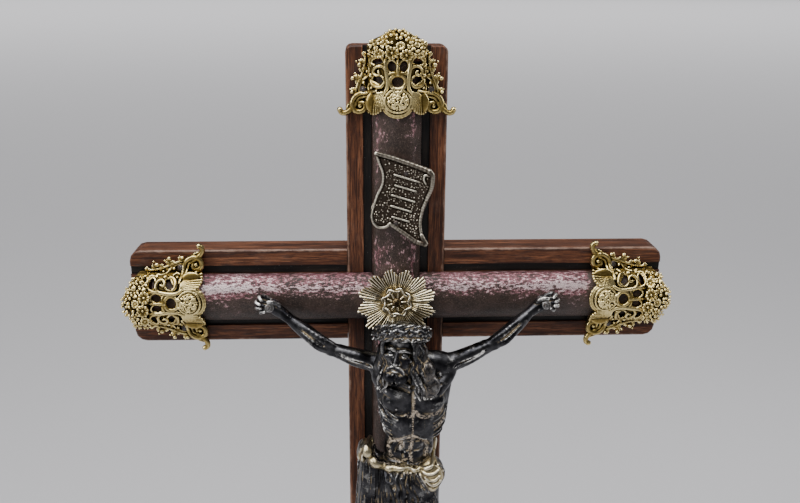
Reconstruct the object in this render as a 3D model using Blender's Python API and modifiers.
"""Processional cross: moulded wooden boards, pierced brass ends, a silvered corpus and a staff socket.

Frame: X across, seen from the front to the right; Y from front to back; Z up. The origin is the centre
of the staff socket's mouth. Lengths are in millimetres here and turned into metres by MM. Places on
the boards and the corpus count from the centre of the crossing, which at() turns into the frame.
"""
import math

import bmesh
import bpy
from mathutils import Euler, Matrix, Vector

MM = 0.001
GAP = 0.3  # free space between neighbours
NAME = "processional_cross"

# Boards
BOARD_WIDTH = 48.0
BAR_WIDTH = 47.6
BOARD_DEPTH = 16.0
FRONT = -BOARD_DEPTH / 2
BACK = BOARD_DEPTH / 2
SHAFT_TOP = 122.0
SHAFT_FOOT = -286.0
BAR_LENGTH = 264.0
BAR_SHIFT = 1.5  # the crossbar sits a little to the right
BOARD_FOOT_HEIGHT = 90.0  # above the socket's mouth
CROSSING_HEIGHT = BOARD_FOOT_HEIGHT - SHAFT_FOOT
BORDER = 8.0  # plain wood strip along each edge
INLAY_WIDTH = 4.3
GROOVE_DEPTH = 3.0
INLAY_THICKNESS = 1.5

# Centre mouldings
MOULD_HALF = 11.7
MOULD_EDGE = 2.0
MOULD_CROWN = 8.5
MOULD_TOP_END = 115.0
MOULD_FOOT_END = -250.0
MOULD_INSET = 11.5  # from the end of the crossbar

# End castings: u across, v along the arm, w out of the board
CASTING_SHIFT = {"top": 0.0, "left": 3.2, "right": 6.3}
CASTING_TURN = {"top": 0.0, "left": -90.0, "right": 90.0}
FLANGE = 2.4
ARCH_HALF = 13.7
ARCH_CROWN = 11.3
PIN_U = 15.8
PIN_V = 102.0
PIN_HEAD, PIN_SHANK, PIN_BORE, PIN_LENGTH = 1.7, 0.7, 1.0, 8.0

# Corpus
CORPUS_BACK = -17.0
PALMS = {"left": (-61.7, -0.6), "right": (73.2, -0.6)}
FOOT_NAIL = (6.5, -184.0)
CROWN_CENTRE = (1.8, -37.0, -9.3)
CROWN_RADIUS = 11.7
CROWN_TUBE = 2.7

# Staff socket and foot
BORE_RADIUS = 12.5
BORE_DEPTH = 54.3
SOCKET_LENGTH = 62.0
COLLAR_WALL = 1.8
COLLAR_TOP = 122.0
SCREW_HEIGHT = 30.0
SCREW_RADIUS = 3.0
PAD_RADIUS = 4.2


def at(x, y, z):
    """A point counted from the crossing's centre, in metres in the frame."""
    return Vector((x, y, z + CROSSING_HEIGHT)) * MM


def low(x, y, z):
    """A point counted from the socket's mouth, in metres in the frame."""
    return Vector((x, y, z)) * MM


for old in list(bpy.data.objects):
    bpy.data.objects.remove(old, do_unlink=True)
PARTS = bpy.data.collections.new(NAME)
CUTTERS = bpy.data.collections.new("cutters")
for group in (PARTS, CUTTERS):
    bpy.context.scene.collection.children.link(group)


def material(name, colour, roughness, metallic):
    made = bpy.data.materials.new(name)
    made.use_nodes = True
    shader = made.node_tree.nodes["Principled BSDF"]
    shader.inputs["Base Color"].default_value = (*colour, 1.0)
    shader.inputs["Roughness"].default_value = roughness
    shader.inputs["Metallic"].default_value = metallic
    made.diffuse_color = (*colour, 1.0)
    return made


WOOD = ("wood", (0.12, 0.045, 0.025), 0.5, 0.0)
EBONY = ("ebonised_wood", (0.012, 0.011, 0.010), 0.45, 0.0)
LACQUER = ("lacquered_wood", (0.075, 0.035, 0.04), 0.4, 0.0)
BRASS = ("brass", (0.62, 0.50, 0.22), 0.35, 1.0)
PALE_BRASS = ("pale_brass", (0.66, 0.60, 0.42), 0.35, 1.0)
SILVER = ("silvered_metal", (0.24, 0.23, 0.21), 0.35, 1.0)
STEEL = ("dark_steel", (0.10, 0.095, 0.09), 0.45, 1.0)


def new_object(name, data, finish, cutter=False):
    made = bpy.data.objects.new(name, data)
    (CUTTERS if cutter else PARTS).objects.link(made)
    if cutter:
        made.hide_render = True
        made.display_type = "WIRE"
    else:
        label, colour, roughness, metallic = finish
        data.materials.append(material(f"{name}_{label}", colour, roughness, metallic))
    return made


def mesh_object(name, bm, finish, cutter=False, smooth=False):
    mesh = bpy.data.meshes.new(name)
    bm.to_mesh(mesh)
    bm.free()
    made = new_object(name, mesh, finish, cutter)
    if smooth:
        mesh.shade_smooth()
        mesh.set_sharp_from_angle(angle=math.radians(35))
    return made


def box(name, corner_a, corner_b, finish=None, cutter=False):
    bm = bmesh.new()
    bmesh.ops.create_cube(bm, size=1.0)
    middle = (corner_a + corner_b) / 2
    sides = [abs(b - a) for a, b in zip(corner_a, corner_b)]
    bmesh.ops.scale(bm, vec=sides, verts=bm.verts)
    bmesh.ops.translate(bm, vec=middle, verts=bm.verts)
    return mesh_object(name, bm, finish, cutter)


def boolean(target, other, operation="DIFFERENCE"):
    step = target.modifiers.new(other.name, "BOOLEAN")
    step.operation = operation
    step.solver = "EXACT"
    step.object = other


def bevel(target, width, segments=1, angle=40):
    step = target.modifiers.new("soft_edges", "BEVEL")
    step.width = width * MM
    step.segments = segments
    step.limit_method = "ANGLE"
    step.angle_limit = math.radians(angle)


def turned(name, profile, finish, place, tilt=(0, 0, 0), segments=24, cutter=False):
    """A profile of (radius, height) points, outer side from top to bottom, turned about its own Z."""
    mesh = bpy.data.meshes.new(name)
    points = [(r * MM, 0.0, h * MM) for r, h in profile]
    edges = [(i, i + 1) for i in range(len(points) - 1)]
    if profile[0][0] > 0:
        edges.append((len(points) - 1, 0))
    mesh.from_pydata(points, edges, [])
    made = new_object(name, mesh, finish, cutter)
    step = made.modifiers.new("turn", "SCREW")
    step.steps = segments
    step.render_steps = segments
    step.use_merge_vertices = True
    step.merge_threshold = 0.000001
    step.use_smooth_shade = True
    made.location = place
    made.rotation_euler = [math.radians(a) for a in tilt]
    return made


def drill(target, name, place, radius, depth, tilt, segments=8):
    """A round hole whose mouth is at place, going depth along the tilted -Z."""
    profile = [(0, 1.0), (radius, 1.0), (radius, -depth), (0, -depth)]
    hole = turned(name, profile, None, place, tilt, segments, cutter=True)
    boolean(target, hole)
    return hole


def outline(name, points, thickness, finish=None, cutter=False, smooth=False):
    """A flat outline, in millimetres, extruded from 0 to thickness along its own Z, as a mesh."""
    curve = bpy.data.curves.new(name, "CURVE")
    curve.dimensions = "2D"
    curve.fill_mode = "BOTH"
    curve.extrude = thickness * MM / 2
    curve.resolution_u = 2
    spline = curve.splines.new("BEZIER" if smooth else "POLY")
    if smooth:
        spline.bezier_points.add(len(points) - 1)
        for knot, (x, y) in zip(spline.bezier_points, points):
            knot.co = (x * MM, y * MM, 0)
            knot.handle_left_type = "AUTO"
            knot.handle_right_type = "AUTO"
    else:
        spline.points.add(len(points) - 1)
        for knot, (x, y) in zip(spline.points, points):
            knot.co = (x * MM, y * MM, 0, 1)
    spline.use_cyclic_u = True
    drawn = bpy.data.objects.new(name + "_curve", curve)
    CUTTERS.objects.link(drawn)
    bpy.context.view_layer.update()
    shape = drawn.evaluated_get(bpy.context.evaluated_depsgraph_get())
    mesh = bpy.data.meshes.new_from_object(shape)
    mesh.materials.clear()
    bpy.data.objects.remove(drawn, do_unlink=True)
    bm = bmesh.new()
    bm.from_mesh(mesh)
    bmesh.ops.remove_doubles(bm, verts=bm.verts, dist=0.000001)
    bmesh.ops.translate(bm, vec=(0, 0, thickness * MM / 2), verts=bm.verts)
    bmesh.ops.recalc_face_normals(bm, faces=bm.faces)
    return mesh_object(name, bm, finish, cutter)


def half_space(name, point, normal, size=0.4):
    """A cutter that fills the side of a plane that its normal points to."""
    bm = bmesh.new()
    bmesh.ops.create_cube(bm, size=size)
    bmesh.ops.translate(bm, vec=(0, 0, size / 2), verts=bm.verts)
    made = mesh_object(name, bm, None, cutter=True)
    turn = Vector(normal).to_track_quat("Z", "Y").to_matrix().to_4x4()
    made.matrix_world = Matrix.Translation(point) @ turn
    return made


# ---------------------------------------------------------------- boards


def board(name, corner_a, corner_b, rounded, radius):
    """A board with the chosen corners rounded and all edges softened."""
    made = box(name, corner_a, corner_b, WOOD)
    bm = bmesh.new()
    bm.from_mesh(made.data)
    corners = []
    for edge in bm.edges:
        a, b = edge.verts[0].co, edge.verts[1].co
        if abs(a.y - b.y) > MM and rounded(a):
            corners.append(edge)
    bmesh.ops.bevel(
        bm, geom=corners, offset=radius * MM, segments=3, profile=0.5, affect="EDGES"
    )
    bm.to_mesh(made.data)
    bm.free()
    bevel(made, 0.7, 1, 60)
    return made


HALF = BOARD_WIDTH / 2
BAR_HALF = BAR_WIDTH / 2
BAR_LEFT = BAR_SHIFT - BAR_LENGTH / 2
BAR_RIGHT = BAR_SHIFT + BAR_LENGTH / 2
INLAY_IN = HALF - BORDER - INLAY_WIDTH
INLAY_OUT = HALF - BORDER
GROOVE_FLOOR = FRONT + GROOVE_DEPTH
INLAY_TOP = GROOVE_FLOOR - INLAY_THICKNESS
BEYOND = 5.0  # cutters run this far past a face
LAP_PLAY = 0.15

shaft = board(
    "shaft_board",
    at(-HALF, FRONT, SHAFT_FOOT),
    at(HALF, BACK, SHAFT_TOP),
    lambda p: p.z > at(0, 0, 0).z,
    3.0,
)
bar = board(
    "crossbar_board",
    at(BAR_LEFT, FRONT, -BAR_HALF),
    at(BAR_RIGHT, BACK, BAR_HALF),
    lambda p: True,
    5.5,
)
boolean(
    shaft,
    box(
        "shaft_lap",
        at(-HALF - BEYOND, -LAP_PLAY, -BAR_HALF - LAP_PLAY),
        at(HALF + BEYOND, BACK + BEYOND, BAR_HALF + LAP_PLAY),
        cutter=True,
    ),
)
boolean(
    bar,
    box(
        "crossbar_lap",
        at(-HALF - LAP_PLAY, FRONT - BEYOND, -BAR_HALF - BEYOND),
        at(HALF + LAP_PLAY, LAP_PLAY, BAR_HALF + BEYOND),
        cutter=True,
    ),
)
inlays = {}
for side, sign in (("left", -1), ("right", 1)):
    near, far = sorted((sign * INLAY_IN, sign * INLAY_OUT))
    groove = box(
        f"shaft_groove_{side}",
        at(near, FRONT - BEYOND, SHAFT_FOOT - BEYOND),
        at(far, GROOVE_FLOOR, SHAFT_TOP + BEYOND),
        cutter=True,
    )
    boolean(shaft, groove)
    inlays[side] = box(
        f"shaft_inlay_{side}",
        at(near + LAP_PLAY, INLAY_TOP, SHAFT_FOOT + LAP_PLAY),
        at(far - LAP_PLAY, GROOVE_FLOOR - LAP_PLAY, SHAFT_TOP - LAP_PLAY),
        EBONY,
    )
BAR_IN = BAR_HALF - BORDER - INLAY_WIDTH
BAR_OUT = BAR_HALF - BORDER
for level, sign in (("upper", 1), ("lower", -1)):
    bottom, top = sorted((sign * BAR_IN, sign * BAR_OUT))
    groove = box(
        f"crossbar_groove_{level}",
        at(BAR_LEFT - BEYOND, FRONT - BEYOND, bottom),
        at(BAR_RIGHT + BEYOND, GROOVE_FLOOR, top),
        cutter=True,
    )
    boolean(bar, groove)
    for side, start, end in (
        ("left", BAR_LEFT, -HALF - LAP_PLAY),
        ("right", HALF + LAP_PLAY, BAR_RIGHT),
    ):
        inlays[f"{level}_{side}"] = box(
            f"crossbar_inlay_{level}_{side}",
            at(start + LAP_PLAY, INLAY_TOP, bottom + LAP_PLAY),
            at(end - LAP_PLAY, GROOVE_FLOOR - LAP_PLAY, top - LAP_PLAY),
            EBONY,
        )

# ---------------------------------------------------------------- centre mouldings

ARC_STEPS = 10


def mould_profile():
    """Half-round section: (across, out of the board)."""
    points = [(-MOULD_HALF, LAP_PLAY), (-MOULD_HALF, MOULD_EDGE)]
    for i in range(1, ARC_STEPS):
        angle = math.pi * i / ARC_STEPS
        rise = (MOULD_CROWN - MOULD_EDGE) * math.sin(angle)
        points.append((-MOULD_HALF * math.cos(angle), MOULD_EDGE + rise))
    return points + [(MOULD_HALF, MOULD_EDGE), (MOULD_HALF, LAP_PLAY)]


def moulding(name, length, turn):
    """A moulding that starts at the crossing's centre and runs along the turned +Z."""
    made = outline(name, mould_profile(), length, LACQUER)
    # the section's own Y comes out of the board, and its extrusion runs along the arm
    upright = Matrix(((1, 0, 0, 0), (0, -1, 0, 0), (0, 0, 1, 0), (0, 0, 0, 1)))
    arm = Matrix.Rotation(math.radians(turn), 4, "Y")
    face = Matrix.Translation(at(0, FRONT, 0))
    for vert in made.data.vertices:
        vert.co = upright @ vert.co
    made.data.flip_normals()
    made.matrix_world = face @ arm
    made.data.shade_smooth()
    made.data.set_sharp_from_angle(angle=math.radians(30))
    for sign in (-1, 1):
        normal = arm @ Vector((sign, 0, -1)).normalized()
        cut = half_space(
            f"{name}_mitre_{'left' if sign < 0 else 'right'}",
            at(0, FRONT, 0) - normal * GAP / 2 * MM,
            normal,
        )
        boolean(made, cut)
    return made


mouldings = {
    "upper": moulding("shaft_moulding_upper", MOULD_TOP_END, 0),
    "lower": moulding("shaft_moulding_lower", -MOULD_FOOT_END, 180),
    "left": moulding("crossbar_moulding_left", -BAR_LEFT - MOULD_INSET, -90),
    "right": moulding("crossbar_moulding_right", BAR_RIGHT - MOULD_INSET, 90),
}

# ---------------------------------------------------------------- pins and nails

# turn a turned piece's head forward or backward, with a small spin that keeps its facets' corners
# off the other pieces' corners
SPIN = 4.0
FORWARD = (90, SPIN, 0)
BACKWARD = (-90, SPIN, 0)


def nail(name, place, head, shank, length, finish, segments=9, dome=0.6):
    """A domed head whose underside is at place, over a straight shank."""
    profile = [
        (0, head * dome),
        (head * 0.7, head * dome * 0.75),
        (head, 0),
        (shank, 0),
        (shank, -length + shank),
        (0, -length),
    ]
    return turned(name, profile, finish, place, FORWARD, segments)


# ---------------------------------------------------------------- end castings

HALF_OUTLINE = [
    (0.0, 90.2),
    (4.6, 91.0),
    (7.2, 93.6),
    (9.6, 91.4),
    (14.0, 90.4),
    (18.6, 89.8),
    (22.6, 89.6),
    (26.2, 89.6),
    (27.3, 91.8),
    (25.6, 93.6),
    (22.6, 95.4),
    (21.6, 99.0),
    (20.2, 103.0),
    (21.0, 106.6),
    (18.8, 109.6),
    (18.6, 112.4),
    (15.6, 114.6),
    (14.6, 118.6),
    (14.4, 124.0),
    (9.4, 127.2),
    (5.6, 129.4),
]
HOLES = [  # u, v, half-width, half-height
    (0.0, 105.6, 3.0, 2.6),
    (2.9, 112.7, 1.8, 2.4),
    (9.3, 115.4, 2.8, 1.5),
    (9.4, 106.6, 2.8, 2.8),
]
ARCH_STEPS = 9


def arch_section():
    """The casting's section across the arm: flat flanges and a shell over the moulding."""
    outer_half, edge = 29.0, 0.2
    inner_half, inner_crown = MOULD_HALF + 0.6, MOULD_CROWN + 0.5
    points = [(-outer_half, edge), (-outer_half, FLANGE)]
    for i in range(ARCH_STEPS + 1):
        angle = math.pi * i / ARCH_STEPS
        rise = (ARCH_CROWN - FLANGE) * math.sin(angle)
        points.append((-ARCH_HALF * math.cos(angle), FLANGE + rise))
    points += [(outer_half, FLANGE), (outer_half, edge), (inner_half, edge)]
    for i in range(ARCH_STEPS + 1):
        angle = math.pi * i / ARCH_STEPS
        rise = (inner_crown - MOULD_EDGE) * math.sin(angle)
        points.append((inner_half * math.cos(angle), MOULD_EDGE + rise))
    return points + [(-inner_half, edge)]


def blob(name, centre, radii, segments=14):
    """An ellipsoid used to build up a casting, in the casting's own u, v, w."""
    bm = bmesh.new()
    bmesh.ops.create_uvsphere(bm, u_segments=segments, v_segments=segments // 2, radius=1.0)
    # a skewed start keeps the ball's corners off the casting's own symmetry plane
    skew = Euler((0.21, 0.34, 0.13)).to_matrix()
    bmesh.ops.rotate(bm, cent=(0, 0, 0), matrix=skew, verts=bm.verts)
    bmesh.ops.scale(bm, vec=[r * MM for r in radii], verts=bm.verts)
    bmesh.ops.translate(bm, vec=Vector(centre) * MM, verts=bm.verts)
    return mesh_object(name, bm, None, cutter=True)


def through_hole(name, place, radius, segments):
    """A cutter along w, from behind the casting to in front of it."""
    profile = [(0, 20), (radius, 20), (radius, -2), (0, -2)]
    return turned(name, profile, None, place, segments=segments, cutter=True)


def end_casting(side):
    name = f"casting_{side}"
    mirrored = [(-u, v) for u, v in reversed(HALF_OUTLINE[1:])]
    made = outline(name, HALF_OUTLINE + mirrored, 24.0, BRASS, smooth=True)
    for vert in made.data.vertices:
        vert.co.z -= 2 * MM
    section = outline(f"{name}_section", arch_section(), 60.0, cutter=True)
    # the section's own Y is the casting's w, and its extrusion runs along v
    for vert in section.data.vertices:
        u, w, v = vert.co
        vert.co = (u, v + 80 * MM, w)
    section.data.flip_normals()
    boolean(made, section, "INTERSECT")
    additions = [
        blob(f"{name}_boss", (0, 98.6, ARCH_CROWN), (7.0, 6.6, 2.2)),
        blob(f"{name}_cluster", (0, 123.4, 7.4), (13.6, 6.6, 6.6)),
    ]
    for sign, hand in ((-1, "left"), (1, "right")):
        additions.append(blob(f"{name}_volute_{hand}", (sign * 18.0, 93.8, 3.0), (3.8, 3.8, 2.7), 10))
        additions.append(blob(f"{name}_tail_{hand}", (sign * 25.6, 91.6, 2.2), (1.7, 1.9, 1.7), 8))
    for addition in additions:
        boolean(made, addition, "UNION")
    openings = []
    for u, v, half_u, half_v in HOLES:
        for sign in (-1, 1) if u else (1,):
            label = f"{name}_hole_{round(sign * u)}_{round(v)}"
            hole = through_hole(label, Vector((sign * u, v, 0)) * MM, 1, 9)
            hole.scale = (half_u, half_v, 1)
            openings.append(hole)
    for sign in (-1, 1):
        label = f"{name}_pin_hole_{'left' if sign < 0 else 'right'}"
        place = Vector((sign * PIN_U, PIN_V, 0)) * MM
        openings.append(through_hole(label, place, PIN_BORE, 8))
    for opening in openings:
        boolean(made, opening)
    shift = Matrix.Translation((0, CASTING_SHIFT[side] * MM, 0))
    flat = Matrix.Rotation(math.radians(90), 4, "X")
    arm = Matrix.Rotation(math.radians(CASTING_TURN[side]), 4, "Y")
    seat = Matrix.Translation(at(0, FRONT, 0)) @ arm @ flat @ shift
    for piece in [made, section, *additions, *openings]:
        bpy.context.view_layer.update()
        piece.matrix_world = seat @ piece.matrix_world
    return seat


for side in ("top", "left", "right"):
    seat = end_casting(side)
    for sign, hand in ((-1, "a"), (1, "b")):
        spot = seat @ (Vector((sign * PIN_U, PIN_V, FLANGE + GAP)) * MM)
        nail(f"casting_pin_{side}_{hand}", spot, PIN_HEAD, PIN_SHANK, PIN_LENGTH, STEEL)
        mouth = Vector((spot.x, FRONT * MM, spot.z))
        wood = shaft if side == "top" else bar
        bore = drill(wood, f"pin_bore_{side}_{hand}", mouth, PIN_BORE, 7.0, FORWARD)
        if side == "top":
            boolean(inlays["left" if sign < 0 else "right"], bore)
        else:
            level = "upper" if mouth.z > at(0, 0, 0).z else "lower"
            boolean(inlays[f"{level}_{side}"], bore)

# ---------------------------------------------------------------- nimbus

RAY_GROUPS = 12
RAYS_PER_GROUP = 3
NIMBUS_RADIUS = 19.3
NIMBUS_BACK = MOULD_CROWN + 0.4
NIMBUS_THICKNESS = 1.3


def nimbus_outline():
    """Groups of rays: the middle ray of each group is the longest, with a notch between groups."""
    points = []
    step = 2 * math.pi / (RAY_GROUPS * RAYS_PER_GROUP)
    for group in range(RAY_GROUPS):
        for ray in range(RAYS_PER_GROUP):
            angle = (group * RAYS_PER_GROUP + ray) * step
            notch = 14.6 if ray == 0 else 17.2
            tip = NIMBUS_RADIUS - 1.0 * abs(ray - 1)
            for turn, radius in ((0.0, notch), (0.5, tip)):
                way = angle + turn * step
                points.append((radius * math.cos(way), radius * math.sin(way)))
    return points


nimbus = outline("nimbus", nimbus_outline(), NIMBUS_THICKNESS, PALE_BRASS)
nimbus.location = at(0, FRONT - NIMBUS_BACK, -0.7)
nimbus.rotation_euler = (math.radians(90), 0, 0)
ring = turned(
    "nimbus_ring",
    [(6.9, 1.5), (5.7, 1.5), (5.2, 0.6), (5.2, -0.2), (7.4, -0.2), (7.4, 0.6)],
    None,
    at(0, FRONT - NIMBUS_BACK - NIMBUS_THICKNESS, -0.7),
    FORWARD,
    24,
    cutter=True,
)
boolean(nimbus, ring, "UNION")
NIMBUS_FACE = at(0, FRONT - NIMBUS_BACK - NIMBUS_THICKNESS, -0.7)
drill(nimbus, "nimbus_bore", NIMBUS_FACE, 1.3, 4.0, FORWARD)
nail("nimbus_nail", NIMBUS_FACE - Vector((0, GAP * MM, 0)), 2.3, 1.0, 16.0, PALE_BRASS, segments=12)
NIMBUS_NAIL_FACE = at(0, FRONT - MOULD_CROWN, -0.7)
for key, moulded in mouldings.items():
    drill(moulded, f"nimbus_nail_bore_{key}", NIMBUS_NAIL_FACE, 1.3, 12.0, FORWARD)
drill(shaft, "nimbus_nail_bore_shaft", at(0, FRONT, -0.7), 1.3, 6.6, FORWARD)

# ---------------------------------------------------------------- title scroll

SCROLL_CORNERS = {"tl": (-10.0, 74.2), "tr": (15.4, 65.6), "bl": (-10.4, 40.0), "br": (13.9, 28.6)}
SCROLL_ACROSS, SCROLL_ALONG = 6, 12
SCROLL_THICKNESS = 1.1
SCROLL_LIFT = MOULD_CROWN + 1.3


def scroll_point(s, t):
    """The waved plate: s from left to right, t from top to bottom."""
    tl, tr = Vector(SCROLL_CORNERS["tl"]), Vector(SCROLL_CORNERS["tr"])
    bl, br = Vector(SCROLL_CORNERS["bl"]), Vector(SCROLL_CORNERS["br"])
    flat = tl.lerp(tr, s).lerp(bl.lerp(br, s), t)
    sway = 2.4 * math.sin(2 * math.pi * (t - 0.02)) - 0.6 * math.sin(math.pi * t)
    lift = SCROLL_LIFT + 0.7 * math.cos(2 * math.pi * t) + 0.9 * (2 * s - 1) ** 2
    return at(flat.x + sway, FRONT - lift, flat.y)


bm = bmesh.new()
bmesh.ops.create_grid(bm, x_segments=SCROLL_ACROSS, y_segments=SCROLL_ALONG, size=0.5)
for vert in bm.verts:
    vert.co = scroll_point(vert.co.x + 0.5, 0.5 - vert.co.y)
scroll = mesh_object("title_scroll", bm, SILVER)
skin = scroll.modifiers.new("thickness", "SOLIDIFY")
skin.thickness = SCROLL_THICKNESS * MM
skin.offset = 0.0
SCROLL_PINS = {"upper": 0.16, "lower": 0.84}
for key, t in SCROLL_PINS.items():
    spot = scroll_point(0.5, t)
    mouth = Vector((spot.x, spot.y - 1.0 * MM, spot.z))
    drill(scroll, f"title_pin_bore_{key}", mouth, 0.9, 4.0, FORWARD)
    head = Vector((spot.x, spot.y - (SCROLL_THICKNESS / 2 + 0.45) * MM, spot.z))
    nail(f"title_pin_{key}", head, 1.3, 0.6, 10.0, STEEL)
    surface = Vector((spot.x, (FRONT - MOULD_CROWN) * MM, spot.z))
    drill(mouldings["upper"], f"title_pin_socket_{key}", surface, 0.9, 8.0, FORWARD)

# ---------------------------------------------------------------- corpus

VOXEL = 1.1
CORPUS_PARTS = {
    "torso": [  # centre x, y, z and half-sizes x, y, z
        ((8.0, -30.0, -44.0), (17.0, 10.5, 14.0)),
        ((7.4, -28.5, -58.0), (14.6, 9.6, 16.0)),
        ((7.0, -27.5, -76.0), (13.2, 9.0, 15.0)),
        ((6.4, -27.5, -92.0), (15.6, 10.0, 13.0)),
        ((-0.4, -36.0, -45.0), (7.6, 4.6, 6.4)),
        ((15.8, -36.0, -45.0), (7.6, 4.6, 6.4)),
        ((7.6, -31.0, -30.0), (9.0, 8.5, 9.0)),
        ((-6.6, -29.0, -30.0), (5.6, 7.0, 6.4)),
        ((21.0, -29.0, -31.0), (5.6, 7.0, 6.4)),
    ],
    "head": [
        ((2.4, -37.2, -17.0), (10.8, 11.6, 12.4)),
        ((1.2, -43.0, -24.0), (7.0, 6.6, 9.0)),
        ((4.4, -33.5, -24.2), (12.4, 9.6, 10.0)),
        ((13.4, -33.5, -28.0), (5.0, 6.4, 10.5)),
        ((-6.2, -34.0, -26.0), (4.4, 6.0, 9.5)),
    ],
    "cloth": [
        ((5.0, -30.0, -96.0), (17.4, 11.4, 16.0)),
        ((-15.6, -27.5, -72.5), (5.6, 6.8, 5.0)),
        ((-13.6, -28.0, -96.0), (7.6, 8.6, 26.0)),
        ((0.0, -32.0, -112.0), (11.0, 9.4, 18.0)),
        ((18.4, -31.0, -91.0), (5.8, 8.6, 9.0)),
        ((14.6, -31.0, -110.0), (8.0, 9.0, 17.0)),
    ],
}
# limbs: x, y, z, radius at each end
CORPUS_LIMBS = [
    ((7.0, -28.0, -40.0, 7.0), (4.0, -35.0, -24.0, 6.4)),
    ((0.4, -29.0, -98.0, 8.8), (2.0, -37.0, -140.0, 6.6)),
    ((14.0, -29.0, -98.0, 8.8), (12.6, -38.0, -141.0, 6.6)),
    ((2.0, -36.4, -140.0, 6.6), (2.6, -30.0, -154.0, 6.0)),
    ((12.6, -37.0, -141.0, 6.6), (11.4, -31.0, -154.0, 6.0)),
    ((2.6, -30.0, -154.0, 6.0), (5.4, -23.4, -178.0, 3.6)),
    ((11.4, -31.0, -154.0, 6.0), (8.6, -26.0, -177.0, 3.6)),
    ((5.4, -24.0, -177.0, 4.0), (5.6, -24.4, -193.0, 3.6)),
    ((8.6, -26.6, -176.0, 4.0), (7.4, -29.8, -190.0, 3.8)),
]
ARM_LIMBS = {
    "left": [
        ((-4.0, -28.5, -29.5, 6.6), (-14.0, -28.0, -27.6, 5.4)),
        ((-14.0, -28.0, -27.6, 5.4), (-32.7, -27.0, -20.9, 4.3)),
        ((-32.7, -27.0, -20.9, 4.3), (-39.0, -26.4, -16.0, 4.2)),
        ((-39.0, -26.4, -16.0, 4.2), (-52.6, -22.8, -6.4, 2.9)),
        ((-52.6, -22.6, -6.4, 2.9), (-59.6, -20.6, -1.6, 3.4)),
        ((-59.6, -20.6, -1.4, 3.2), (-64.4, -20.4, 0.6, 3.2)),
        ((-64.4, -20.8, 0.8, 2.8), (-67.2, -22.2, 3.4, 2.0)),
    ],
    "right": [
        ((19.0, -28.5, -31.0, 6.6), (29.0, -28.0, -28.2, 5.4)),
        ((29.0, -28.0, -28.2, 5.4), (48.1, -27.0, -18.8, 4.3)),
        ((48.1, -27.0, -18.8, 4.3), (53.6, -26.2, -14.0, 4.2)),
        ((53.6, -26.2, -14.0, 4.2), (65.2, -22.8, -4.8, 2.9)),
        ((65.2, -22.6, -4.8, 2.9), (71.4, -20.6, -1.2, 3.4)),
        ((71.4, -20.6, -1.0, 3.2), (75.8, -20.4, 1.0, 3.2)),
        ((75.8, -20.8, 1.2, 2.8), (78.2, -22.2, 3.6, 2.0)),
    ],
}
SHOULDER_SEAMS = {  # a point on the seam and the way out of the body
    "left": ((-10.5, -28.0, -28.4), (-1, 0, 0.34)),
    "right": ((25.5, -28.0, -29.6), (1, 0, 0.40)),
}


def add_ellipsoid(bm, centre, radii):
    made = bmesh.ops.create_uvsphere(bm, u_segments=24, v_segments=14, radius=1.0)["verts"]
    bmesh.ops.scale(bm, vec=[r * MM for r in radii], verts=made)
    bmesh.ops.translate(bm, vec=at(*centre), verts=made)


def add_limb(bm, start, end):
    """A tapered limb with a ball at each end."""
    a, b = at(*start[:3]), at(*end[:3])
    way = b - a
    cone = bmesh.ops.create_cone(
        bm,
        cap_ends=True,
        segments=20,
        radius1=start[3] * MM,
        radius2=end[3] * MM,
        depth=way.length,
    )["verts"]
    turn = way.to_track_quat("Z", "Y").to_matrix().to_4x4()
    bmesh.ops.transform(bm, matrix=Matrix.Translation((a + b) / 2) @ turn, verts=cone)
    for point, radius in ((a, start[3]), (b, end[3])):
        ball = bmesh.ops.create_uvsphere(bm, u_segments=20, v_segments=12, radius=radius * MM)
        bmesh.ops.translate(bm, vec=point, verts=ball["verts"])


def cast_metal(name, bm, ratio):
    """Joins overlapping forms into one smooth skin and thins it."""
    made = mesh_object(name, bm, SILVER)
    skin = made.modifiers.new("one_skin", "REMESH")
    skin.mode = "VOXEL"
    skin.voxel_size = VOXEL * MM
    soften = made.modifiers.new("soften", "SMOOTH")
    soften.factor = 0.5
    soften.iterations = 3
    thin = made.modifiers.new("thin", "DECIMATE")
    thin.ratio = ratio
    return made


bm = bmesh.new()
for forms in CORPUS_PARTS.values():
    for centre, radii in forms:
        add_ellipsoid(bm, centre, radii)
for start, end in CORPUS_LIMBS:
    add_limb(bm, start, end)
body = cast_metal("corpus_body", bm, 0.055)
boolean(body, half_space("corpus_back", at(0, CORPUS_BACK, 0), (0, 1, 0)))
for side, limbs in ARM_LIMBS.items():
    bm = bmesh.new()
    for start, end in limbs:
        add_limb(bm, start, end)
    arm = cast_metal(f"corpus_arm_{side}", bm, 0.11)
    boolean(arm, half_space(f"arm_back_{side}", at(0, CORPUS_BACK, 0), (0, 1, 0)))
    point, outward = SHOULDER_SEAMS[side]
    outward = Vector(outward).normalized()
    seam = at(*point)
    boolean(body, half_space(f"shoulder_{side}", seam, outward))
    boolean(arm, half_space(f"arm_root_{side}", seam + outward * GAP * MM, -outward))
    x, z = PALMS[side]
    palm = at(x, -25.0, z)
    drill(arm, f"palm_bore_{side}", palm, 1.2, 10.0, FORWARD)
    nail(f"hand_nail_{side}", at(x, -24.2, z), 2.2, 0.9, 21.0, STEEL)
    drill(mouldings[side], f"hand_nail_bore_{side}", at(x, FRONT - MOULD_CROWN, z), 1.2, 12.0, FORWARD)
    drill(bar, f"hand_nail_socket_{side}", at(x, FRONT, z), 1.2, 6.0, FORWARD)

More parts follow.
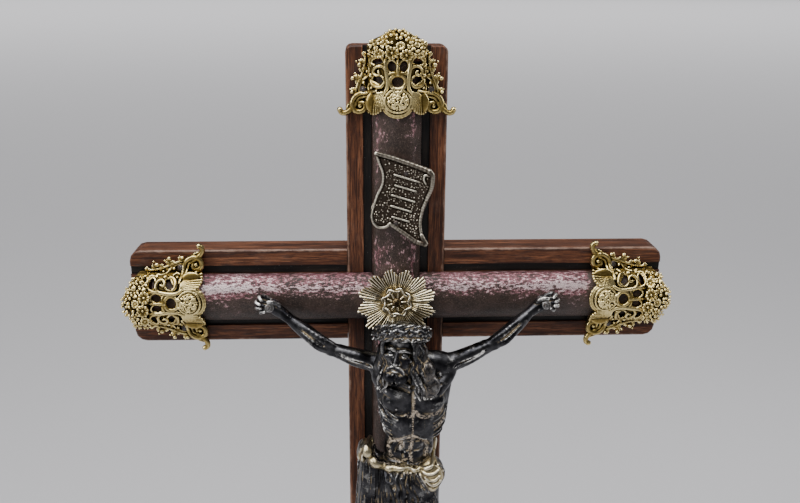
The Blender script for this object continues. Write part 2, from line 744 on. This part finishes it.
x, z = FOOT_NAIL
drill(body, "foot_bore", at(x, -36.0, z), 1.2, 22.0, FORWARD)
nail("foot_nail", at(x, -34.6, z), 2.3, 0.9, 28.0, STEEL)
drill(mouldings["lower"], "foot_nail_bore", at(x, FRONT - MOULD_CROWN, z), 1.2, 12.0, FORWARD)
drill(shaft, "foot_nail_socket", at(x, FRONT, z), 1.2, 6.0, FORWARD)

CROWN_TILT = (-22, 2, 0)
bm = bmesh.new()
bmesh.ops.create_circle(bm, segments=8, radius=CROWN_TUBE * MM)
bmesh.ops.rotate(bm, cent=(0, 0, 0), matrix=Matrix.Rotation(math.radians(90), 3, "X"), verts=bm.verts)
bmesh.ops.translate(bm, vec=(CROWN_RADIUS * MM, 0, 0), verts=bm.verts)
crown = mesh_object("crown_of_thorns", bm, SILVER, smooth=True)
spin = crown.modifiers.new("ring", "SCREW")
spin.steps = 20
spin.render_steps = 20
spin.use_merge_vertices = True
spin.merge_threshold = 0.000001
crown.location = at(*CROWN_CENTRE)
crown.rotation_euler = [math.radians(a) for a in CROWN_TILT]
slack = turned(
    "crown_seat",
    [
        (CROWN_RADIUS + CROWN_TUBE + 4, CROWN_TUBE + GAP),
        (CROWN_RADIUS + CROWN_TUBE + 4, -CROWN_TUBE - GAP),
        (CROWN_RADIUS - CROWN_TUBE - GAP, -CROWN_TUBE - GAP),
        (CROWN_RADIUS - CROWN_TUBE - GAP, CROWN_TUBE + GAP),
    ],
    None,
    at(*CROWN_CENTRE),
    CROWN_TILT,
    20,
    cutter=True,
)
boolean(body, slack)

# ---------------------------------------------------------------- screws at the back

SCREW_SPREAD = 15.0
HEAD_RECESS = 0.3


def countersunk(name, place, finish, tilt, head=3.2, shank=1.4, length=13.0):
    """A wood screw with its flat head's face at place."""
    profile = [(0, 0), (head, 0), (shank, -head + shank), (shank, -length + 2), (0, -length)]
    return turned(name, profile, finish, place, tilt, 10)


def countersink(target, name, place, tilt, head=3.5, shank=1.7, depth=13.6):
    """The hole for such a screw, with free space all round."""
    profile = [(0, 1), (head, 1), (head, -GAP), (shank, -GAP - head + shank), (shank, -depth), (0, -depth)]
    boolean(target, turned(name, profile, None, place, tilt, 10, cutter=True))


LAP_SCREWS = [(x, z) for z in (6.0, -9.0) for x in (-SCREW_SPREAD, SCREW_SPREAD)]
for number, (x, z) in enumerate(LAP_SCREWS, 1):
    place = at(x, BACK - HEAD_RECESS, z)
    countersunk(f"lap_screw_{number}", place, STEEL, BACKWARD, length=11.0)
    for wood, key in ((bar, "bar"), (shaft, "shaft")):
        countersink(wood, f"lap_screw_hole_{key}_{number}", place, BACKWARD, depth=11.6)

# ---------------------------------------------------------------- foot: collar, knop, socket

COLLAR_FLOOR = 2.0
collar = box(
    "foot_collar",
    low(-HALF - GAP - COLLAR_WALL, FRONT - GAP - COLLAR_WALL, BOARD_FOOT_HEIGHT - GAP - COLLAR_FLOOR),
    low(HALF + GAP + COLLAR_WALL, BACK + GAP + COLLAR_WALL, COLLAR_TOP),
    BRASS,
)
bevel(collar, 0.8, 2)
boolean(
    collar,
    box(
        "collar_inside",
        low(-HALF - GAP, FRONT - GAP, BOARD_FOOT_HEIGHT - GAP),
        low(HALF + GAP, BACK + GAP, COLLAR_TOP + BEYOND),
        cutter=True,
    ),
)
BOLT_RADIUS = 3.0
BOLT_BOTTOM, BOLT_TOP = SOCKET_LENGTH - 6.0 + GAP, BOARD_FOOT_HEIGHT + 40.0
UPRIGHT = (0, 0, 0)
bolt = turned(
    "hanger_bolt",
    [
        (0, BOLT_TOP),
        (BOLT_RADIUS - 1, BOLT_TOP - 2),
        (BOLT_RADIUS, BOLT_TOP - 4),
        (BOLT_RADIUS, BOLT_BOTTOM + 0.5),
        (BOLT_RADIUS - 0.5, BOLT_BOTTOM),
        (0, BOLT_BOTTOM),
    ],
    STEEL,
    low(0, 0, 0),
    segments=18,
)
for target, key, bottom, top in (
    (collar, "collar", BOARD_FOOT_HEIGHT - 6, BOARD_FOOT_HEIGHT + 6),
    (shaft, "shaft", BOARD_FOOT_HEIGHT - 6, BOLT_TOP + 0.5),
):
    bore = [(0, top), (BOLT_RADIUS + GAP, top), (BOLT_RADIUS + GAP, bottom), (0, bottom)]
    boolean(target, turned(f"bolt_bore_{key}", bore, None, low(0, 0, 0), UPRIGHT, 18, cutter=True))

COLLAR_BASE = BOARD_FOOT_HEIGHT - GAP - COLLAR_FLOOR
knop_profile = [
    (7.8, COLLAR_BASE - GAP),
    (8.2, COLLAR_BASE - 1.2),
    (7.0, COLLAR_BASE - 2.4),
    (8.6, COLLAR_BASE - 4.0),
    (12.6, COLLAR_BASE - 6.2),
    (15.4, COLLAR_BASE - 9.6),
    (16.2, COLLAR_BASE - 12.6),
    (15.4, COLLAR_BASE - 15.6),
    (12.6, COLLAR_BASE - 19.0),
    (9.6, COLLAR_BASE - 21.0),
    (9.0, COLLAR_BASE - 22.4),
    (10.4, COLLAR_BASE - 23.6),
    (10.4, SOCKET_LENGTH + GAP),
    (BOLT_RADIUS + GAP, SOCKET_LENGTH + GAP),
    (BOLT_RADIUS + GAP, COLLAR_BASE - GAP),
]
turned("knop", knop_profile, BRASS, low(0, 0, 0), segments=24)
CAP_BASE = BORE_DEPTH
cap_profile = [
    (10.6, SOCKET_LENGTH),
    (13.0, SOCKET_LENGTH - 1.2),
    (16.4, SOCKET_LENGTH - 3.2),
    (17.2, SOCKET_LENGTH - 5.0),
    (16.4, SOCKET_LENGTH - 6.8),
    (15.4, CAP_BASE),
    (BOLT_RADIUS + GAP, CAP_BASE),
    (BOLT_RADIUS + GAP, SOCKET_LENGTH),
]
turned("socket_cap", cap_profile, BRASS, low(0, 0, 0), segments=24)
TUBE_TOP = CAP_BASE - GAP
socket_profile = [
    (15.0, TUBE_TOP),
    (15.0, 10.0),
    (16.4, 8.6),
    (16.4, 6.4),
    (15.6, 5.2),
    (17.0, 3.4),
    (17.0, 0.0),
    (BORE_RADIUS + 0.6, 0.0),
    (BORE_RADIUS, 0.8),
    (BORE_RADIUS, TUBE_TOP),
]
socket = turned("staff_socket", socket_profile, BRASS, low(0, 0, 0), segments=24)

# Clamp screw through a boss on the socket's right side; the pad on its tip presses the staff
SIDEWAYS = (0, 90, 0)  # turns a turned piece's head towards +X
BOSS_FACE = 21.0
boss_profile = [(0, BOSS_FACE), (5.4, BOSS_FACE), (6.4, BOSS_FACE - 1), (7.0, 13.6), (0, 13.6)]
boss = turned("socket_boss", boss_profile, None, low(0, 0, SCREW_HEIGHT), SIDEWAYS, 20, cutter=True)
boolean(socket, boss, "UNION")
thread = SCREW_RADIUS + 0.1
PAD_BACK = 15.6
screw_way = [
    (0, BOSS_FACE + BEYOND),
    (thread, BOSS_FACE + BEYOND),
    (thread, PAD_BACK + 0.4),
    (PAD_RADIUS + 0.4, PAD_BACK + 0.4),
    (PAD_RADIUS + 0.4, 6.0),
    (0, 6.0),
]
boolean(socket, turned("screw_way", screw_way, None, low(0, 0, SCREW_HEIGHT), SIDEWAYS, 20, cutter=True))
PAD_FACE = BORE_RADIUS + 0.5
PAD_SEAT = PAD_FACE + 1.4  # bottom of the seat for the screw's tip
pad_profile = [
    (0, PAD_SEAT),
    (1.6, PAD_SEAT),
    (1.6, PAD_BACK),
    (PAD_RADIUS - 0.4, PAD_BACK),
    (PAD_RADIUS, PAD_BACK - 0.4),
    (PAD_RADIUS, PAD_FACE + 0.3),
    (PAD_RADIUS - 0.3, PAD_FACE),
    (0, PAD_FACE),
]
turned("pressure_pad", pad_profile, BRASS, low(0, 0, SCREW_HEIGHT), SIDEWAYS, 20)
HEAD_START = BOSS_FACE + 3.6
clamp = turned(
    "clamp_screw",
    [
        (0, HEAD_START + 3.0),
        (4.6, HEAD_START + 3.0),
        (5.2, HEAD_START + 2.2),
        (5.2, HEAD_START + 0.6),
        (4.6, HEAD_START),
        (SCREW_RADIUS, HEAD_START),
        (SCREW_RADIUS, PAD_BACK + 0.9),
        (SCREW_RADIUS - 0.6, PAD_BACK + 0.3),
        (1.3, PAD_BACK + 0.3),
        (1.3, PAD_SEAT + GAP),
        (0, PAD_SEAT + GAP),
    ],
    BRASS,
    low(0, 0, SCREW_HEIGHT),
    SIDEWAYS,
    20,
)
WING_THICKNESS = 2.4
HALF_WING = [
    (3.0, 0.4),
    (6.6, 1.4),
    (9.0, 3.2),
    (10.4, 6.6),
    (9.4, 9.8),
    (6.8, 10.6),
    (3.4, 7.4),
    (0.0, 5.6),
]
wing = outline(
    "clamp_wing",
    HALF_WING + [(-across, outward) for across, outward in reversed(HALF_WING[:-1])],
    WING_THICKNESS,
    cutter=True,
    smooth=True,
)
# the wing's own X runs along the frame's Y, and its own Y away from the socket
for vert in wing.data.vertices:
    across, outward, thick = vert.co
    vert.co = (thick - WING_THICKNESS / 2 * MM, across, outward)
wing.location = low(HEAD_START + 0.8, 0, SCREW_HEIGHT)
wing.rotation_euler = [math.radians(a) for a in SIDEWAYS]
boolean(clamp, wing, "UNION")

# ---------------------------------------------------------------- collar screws

for side, sign in (("left", -1), ("right", 1)):
    place = low(sign * 20.0, FRONT - GAP - COLLAR_WALL - GAP, 112.0)
    nail(f"collar_screw_{side}", place, 2.4, 1.1, 9.0, BRASS, dome=0.45)
    mouth = low(sign * 20.0, FRONT - GAP - COLLAR_WALL - BEYOND, 112.0)
    drill(collar, f"collar_screw_hole_{side}", mouth, 1.4, 9.0, FORWARD)
    drill(shaft, f"collar_screw_bore_{side}", low(sign * 20.0, FRONT, 112.0), 1.4, 7.4, FORWARD)
